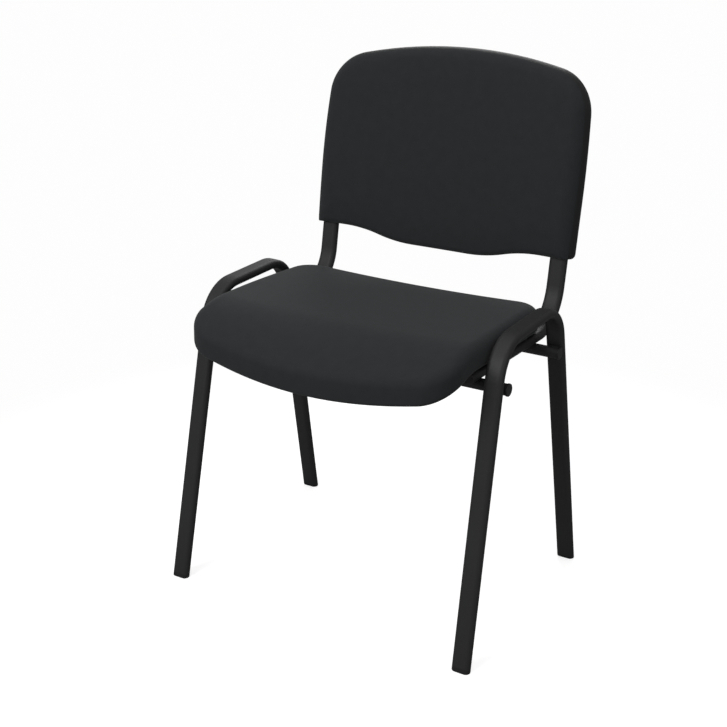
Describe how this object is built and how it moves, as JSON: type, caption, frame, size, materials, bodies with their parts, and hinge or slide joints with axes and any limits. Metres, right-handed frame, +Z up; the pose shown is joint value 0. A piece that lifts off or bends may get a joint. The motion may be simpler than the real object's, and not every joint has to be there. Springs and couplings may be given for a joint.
{
  "type": "stacking chair",
  "caption": "Upholstered stacking choir chair: padded waterfall seat and curved padded back on a black tube frame with bent side arches.",
  "frame": {"origin": "on the floor, under the middle of the chair's bounding box", "axes": "+Z up, the sitter faces -Y, +X to the right of someone who stands in front and looks at the chair"},
  "size_m": [0.561, 0.5113, 0.8409],
  "materials": {
    "frame_paint": "satin powder coat",
    "cover_fabric": "fine plain weave, matt",
    "foam": "open-cell foam",
    "board_wood": "bare moulded plywood",
    "shell_plastic": "fine spark-eroded grain",
    "plug_plastic": "smooth moulded",
    "zinc_steel": "zinc plated"
  },
  "bodies": {
    "root": {"side_arch_left": "frame_paint", "side_arch_right": "frame_paint", "back_upright_left": "frame_paint", "back_upright_right": "frame_paint", "front_crossbar": "frame_paint", "rear_crossbar": "frame_paint", "rail_plug_left": "plug_plastic", "rail_plug_right": "plug_plastic", "front_bar_cap_left": "plug_plastic", "front_bar_cap_right": "plug_plastic", "rear_bar_cap_left": "plug_plastic", "rear_bar_cap_right": "plug_plastic", "foot_front_left": "plug_plastic", "foot_front_right": "plug_plastic", "foot_rear_left": "plug_plastic", "foot_rear_right": "plug_plastic", "seat_board": "board_wood", "seat_foam": "foam", "seat_cover": "cover_fabric", "seat_spacers": "plug_plastic", "seat_bolts": "zinc_steel", "seat_washers": "zinc_steel", "seat_tee_nuts": "zinc_steel", "back_board": "board_wood", "back_foam": "foam", "back_cover": "cover_fabric", "back_shell": "shell_plastic", "back_screws": "zinc_steel", "back_tee_nuts": "zinc_steel"}
  },
  "joints": []
}
